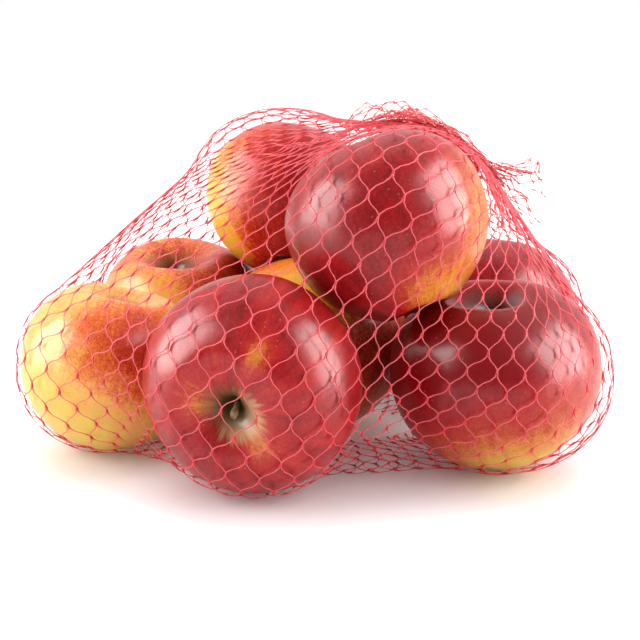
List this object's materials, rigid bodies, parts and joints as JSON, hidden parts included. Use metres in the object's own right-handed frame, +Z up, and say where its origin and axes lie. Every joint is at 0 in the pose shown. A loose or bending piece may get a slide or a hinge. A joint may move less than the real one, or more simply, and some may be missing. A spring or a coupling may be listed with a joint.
{
  "type": "net of apples",
  "caption": "Apples heaped in a gathered net bag that stands on a table, its bunched mouth drawn to one side with a short frayed tail.",
  "frame": {"origin": "middle of the footprint at the table, under the centre of the bounding box", "axes": "+Z up, +X along the pack towards the tail, -Y towards the side the picture shows"},
  "size_m": [0.2304, 0.214, 0.13],
  "materials": {
    "net": "coral-red extruded polyethylene net, half translucent",
    "apple_skin": "waxy skin, crimson blush over yellow-green with pale specks",
    "apple_stem": "dry brown stem, matt"
  },
  "bodies": {
    "root": {"net_bag": "net"}
  },
  "joints": []
}
